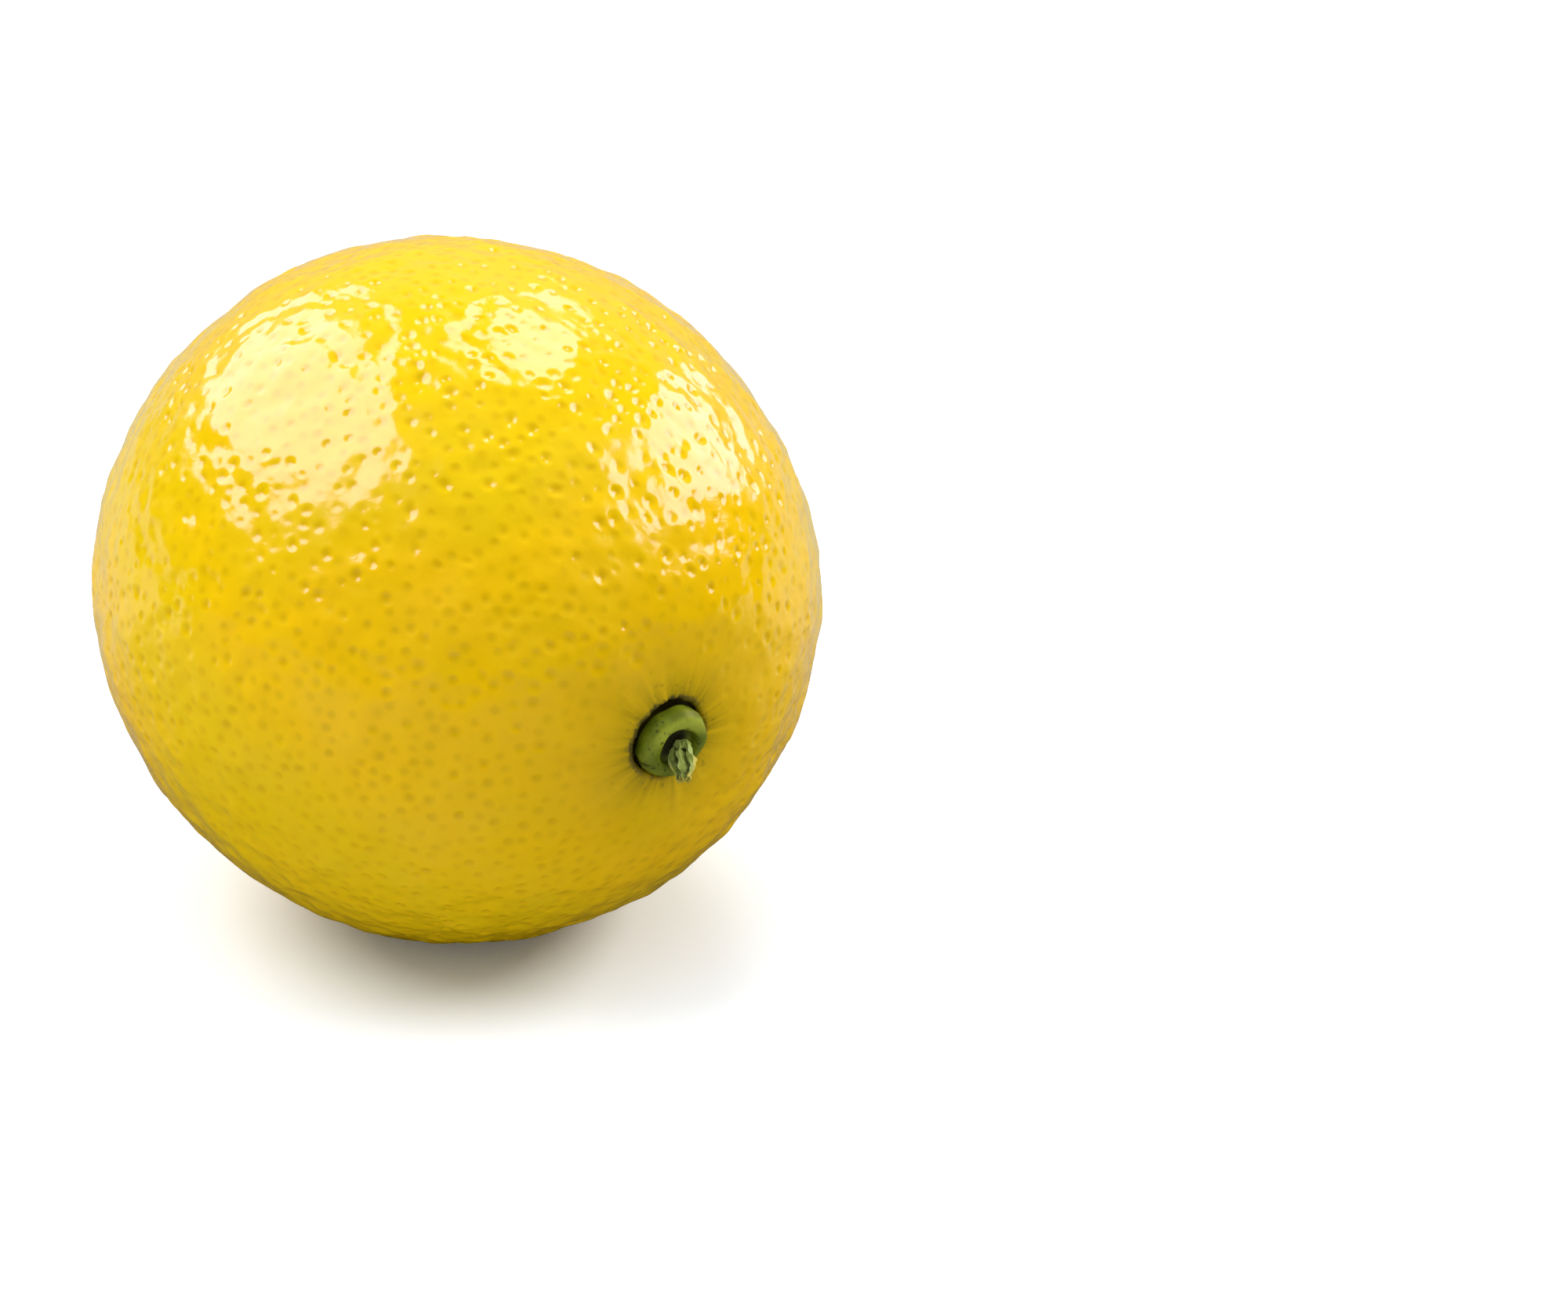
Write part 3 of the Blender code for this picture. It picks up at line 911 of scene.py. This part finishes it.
# Dark brown in the pit: painted shade.
colour = mixed(tree, painted(tree, "pit"), colour, PIT_SHADE)
tree.links.new(colour, shader.inputs["Base Color"])
dull = ranged(tree, painted(tree, "pit"), 0.0, 1.0, 0.50, 0.8)
tree.links.new(dull, shader.inputs["Roughness"])
normal = bumped(tree, noise(tree, 0.25 * MM, 3.0), 0.02 * MM)
tree.links.new(normal, shader.inputs["Normal"])
shader.inputs["Specular IOR Level"].default_value = 0.3
shader.inputs["Subsurface Weight"].default_value = 0.1
shader.inputs["Subsurface Scale"].default_value = 0.6 * MM
calyx.data.materials.append(calyx_look)
print("nodes in the button's material:", len(calyx_look.node_tree.nodes))

# %% Material of the stub
# The crease, crack and hollow colours are painted shade; the crest colour is a painted highlight.
DRY_GREEN, DRY_PALE, CREASE_SHADE = (0.25, 0.305, 0.055), (0.42, 0.50, 0.135), (0.07, 0.085, 0.014)
CREST_HIGHLIGHT, STRAW = (0.52, 0.60, 0.25), (0.60, 0.50, 0.09)
CRACK_SHADE, HOLLOW_SHADE = (0.03, 0.032, 0.008), (0.06, 0.05, 0.02)
stub_look, tree, shader = new_material("stub_dry_fibre")
fibre = noise(tree, 0.5 * MM, 4.0, 0.6)
colour = mixed(tree, ranged(tree, fibre, 0.35, 0.7, 0.0, 1.0), DRY_GREEN, DRY_PALE)
# Dark in the low folds: painted shade.
colour = mixed(tree, ranged(tree, painted(tree, "crest"), 0.10, 0.45, 0.85, 0.0), colour, CREASE_SHADE)
# Pale on the high folds: a painted highlight.
colour = mixed(tree, ranged(tree, painted(tree, "crest"), 0.6, 0.95, 0.0, 0.5), colour, CREST_HIGHLIGHT)
colour = mixed(tree, ranged(tree, painted(tree, "edge"), 0.2, 1.0, 0.0, 0.85), colour, STRAW)
# Dark in the crack and the hole: painted shade.
colour = mixed(tree, painted(tree, "crack"), colour, CRACK_SHADE)
# Dark brown deeper inside the torn tip's hollow: painted shade.
colour = mixed(tree, painted(tree, "hollow"), colour, HOLLOW_SHADE)
tree.links.new(colour, shader.inputs["Base Color"])
shader.inputs["Roughness"].default_value = 0.85
shader.inputs["Specular IOR Level"].default_value = 0.15
normal = bumped(tree, noise(tree, 0.18 * MM, 4.0, 0.6), 0.05 * MM)
tree.links.new(normal, shader.inputs["Normal"])
stub.data.materials.append(stub_look)
print("nodes in the stub's material:", len(stub_look.node_tree.nodes))

# %% [markdown]
# ## Tie the pieces to the frame
#
# Each new skin rides on the part's one body and stands for the CAD solid under it, which
# stays in the physics.

# %% Ride and replace
for piece, cad_node, finish in (
    (peel, "fruit", "peel"),
    (calyx, "calyx", "calyx"),
    (stub, "stem_stub", "stub"),
):
    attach(piece, "root")
    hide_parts(cad_node)
    print(piece.name, "stands for", cad_node)

# %% [markdown]
# ## The table and the studio
#
# The lemon lies on a plain white table in a white room, and three soft boxes stand round it:
# a large one at the upper left, one above and behind, and one at the right.

# %% The table
HALF_TABLE = 4.0
table_mesh = bpy.data.meshes.new("table")
table_mesh.from_pydata(
    [(x * HALF_TABLE, y * HALF_TABLE, 0.0) for x, y in ((-1, -1), (1, -1), (1, 1), (-1, 1))],
    [],
    [(0, 1, 2, 3)],
)
table = bpy.data.objects.new("table", table_mesh)
bpy.context.scene.collection.objects.link(table)
print("the table is", 2 * HALF_TABLE, "m wide")

# %% [markdown]
# The table answers three kinds of rays in three ways, which is a studio trick and not how
# real paper works. Seen by the camera it is white, and it adds some light of its own, least
# round the fruit so that the contact shadow stays. The light that it throws back at the fruit
# is a little weaker at the right. In the peel's gloss it is nearly black on the camera's side
# and grey beyond the fruit, which keeps the front of the peel deep yellow.

# %% The table's finish
table_look, tree, shader = new_material("table_white")
path = node(tree, "ShaderNodeLightPath").outputs
place = node(tree, "ShaderNodeNewGeometry").outputs["Position"]


def grey(amount):
    return (amount, amount, amount)


def along_axis(tree, vector, axis):
    """How far a vector reaches along an axis."""
    inputs = {0: vector, 1: tuple(axis)}
    return node(tree, "ShaderNodeVectorMath", inputs, operation="DOT_PRODUCT").outputs["Value"]


speckle = ranged(tree, noise(tree, 30 * MM, 2.0), 0.3, 0.7, 0.0, 1.0)
beyond = along_axis(tree, place, (-to_camera.x, -to_camera.y, 0.0))
in_gloss = mixed(tree, ranged(tree, beyond, -0.02, 0.07, 0.0, 1.0), grey(0.02), grey(0.28))
rightward = along_axis(tree, place, to_right)
bounced = mixed(tree, ranged(tree, rightward, -0.02, 0.06, 0.0, 1.0), grey(0.72), grey(0.54))
colour = mixed(tree, speckle, (0.91, 0.95, 0.99), (0.93, 0.97, 1.0))
colour = mixed(tree, path["Is Diffuse Ray"], colour, bounced)
colour = mixed(tree, path["Is Glossy Ray"], colour, in_gloss)
tree.links.new(colour, shader.inputs["Base Color"])

distance = node(tree, "ShaderNodeVectorMath", {0: place}, operation="LENGTH").outputs["Value"]
near_lift, mid_lift = (0.08, 0.08, 0.07), (0.13, 0.18, 0.30)
lift = mixed(tree, ranged(tree, distance, 0.012, 0.050, 0.0, 1.0), near_lift, mid_lift)
lift = mixed(tree, ranged(tree, distance, 0.08, 0.40, 0.0, 1.0), lift, grey(1.0))
own_light = mixed(tree, path["Is Camera Ray"], grey(0.0), lift)
tree.links.new(own_light, shader.inputs["Emission Color"])
shader.inputs["Emission Strength"].default_value = 1.0
shader.inputs["Roughness"].default_value = 0.9
shader.inputs["Specular IOR Level"].default_value = 0.0
table_mesh.materials.append(table_look)
print("nodes in the table's material:", len(table_look.node_tree.nodes))

# %% [markdown]
# Each soft box is two lamps. One shows only in the gloss of the fruit. The other gives only
# the light: it stands a little further off and further toward the camera. So the strength and
# place of a reflection are set apart from those of the light.

# %% A soft box


def area_lamp(name, place, width, height, radiance, colour):
    """An elliptical lamp of this radiance. It is itself unseen by the camera."""
    lamp_data = bpy.data.lights.new(name, "AREA")
    lamp_data.shape = "ELLIPSE"
    lamp_data.size, lamp_data.size_y = width, height
    lamp_data.energy = radiance * pi * (pi / 4 * width * height)
    lamp_data.color = colour
    lamp = bpy.data.objects.new(name, lamp_data)
    lamp.matrix_world = place
    lamp.visible_camera = False
    bpy.context.scene.collection.objects.link(lamp)
    return lamp


def box_place(right, top, toward, spin, distance):
    """The place of a lamp that looks at the fruit from this direction."""
    direction = (right * to_right + top * to_top + toward * to_camera).normalized()
    spun = Matrix.Rotation(radians(spin), 4, "Z")
    turn = direction.to_track_quat("Z", "Y").to_matrix().to_4x4() @ spun
    return Matrix.Translation(CENTRE + distance * direction) @ turn


# %% The soft boxes
SHINE_DISTANCE, GLOW_DISTANCE = 1.50, 1.62
SHINE_COLOUR, GLOW_COLOUR = (1.0, 0.58, 0.90), (1.0, 1.0, 1.0)
GLOW_FORWARD = 0.16  # how much further toward the camera the light comes from
BOXES = (
    # name, (right, up, toward the camera), spin in degrees, width, height, glow, shine
    ("left", (-0.661, 0.748, 0.055), 27, 2.30, 1.22, 3.30, 3.8),
    ("back", (0.167, 0.970, -0.179), 0, 0.50, 0.92, 4.50, 3.7),
    ("right", (0.785, 0.610, -0.100), -20, 2.00, 0.68, 5.90, 4.3),
)
for name, (right, top, toward), spin, width, height, glow, shine in BOXES:
    near = box_place(right, top, toward, spin, SHINE_DISTANCE)
    far = box_place(right, top, toward + GLOW_FORWARD, spin, GLOW_DISTANCE)
    shine_lamp = area_lamp(f"box_{name}_shine", near, width, height, shine, SHINE_COLOUR)
    shine_lamp.visible_diffuse = False
    glow_lamp = area_lamp(f"box_{name}_glow", far, width, height, glow, GLOW_COLOUR)
    glow_lamp.visible_glossy = False
    print("soft box", name, "is", width, "by", height, "m")

# %% [markdown]
# The room itself gives a little light, most of it from the ceiling and some from the left. In
# reflections it is dark, except beyond the fruit, where its brightness gives the edge of the
# peel a pale line. To the camera it is plain white.

# %% The room
world = bpy.data.worlds.new("studio")
world.use_nodes = True
bpy.context.scene.world = world
tree = world.node_tree
background = tree.nodes["Background"]
direction = node(tree, "ShaderNodeTexCoord").outputs["Generated"]
path = node(tree, "ShaderNodeLightPath").outputs


def toward(tree, direction, axis):
    """How far a direction points along an axis: 0 to 1, and 0 when it points away."""
    inputs = {0: along_axis(tree, direction, axis), 1: 0.0}
    return node(tree, "ShaderNodeMath", inputs, operation="MAXIMUM").outputs[0]


def scaled(tree, value, amount, added):
    inputs = {0: value, 1: amount, 2: added}
    return node(tree, "ShaderNodeMath", inputs, operation="MULTIPLY_ADD").outputs[0]


CEILING, LEFT_WALL = 0.90, 0.25
far_side = Vector((-to_camera.x, -to_camera.y, 0.0)).normalized()
glow = scaled(tree, toward(tree, direction, (0.0, 0.0, 1.0)), CEILING, 0.0)
glow = scaled(tree, toward(tree, direction, -to_right), LEFT_WALL, glow)
shine = ranged(tree, toward(tree, direction, far_side), 0.45, 0.95, 0.0, 0.32)
shown = mixed(tree, path["Is Glossy Ray"], glow, shine)
shown = mixed(tree, path["Is Camera Ray"], shown, grey(1.0))
tree.links.new(shown, background.inputs["Color"])
background.inputs["Strength"].default_value = 1.0
bpy.context.scene.view_settings.view_transform = "Standard"
print("nodes in the room:", len(tree.nodes))
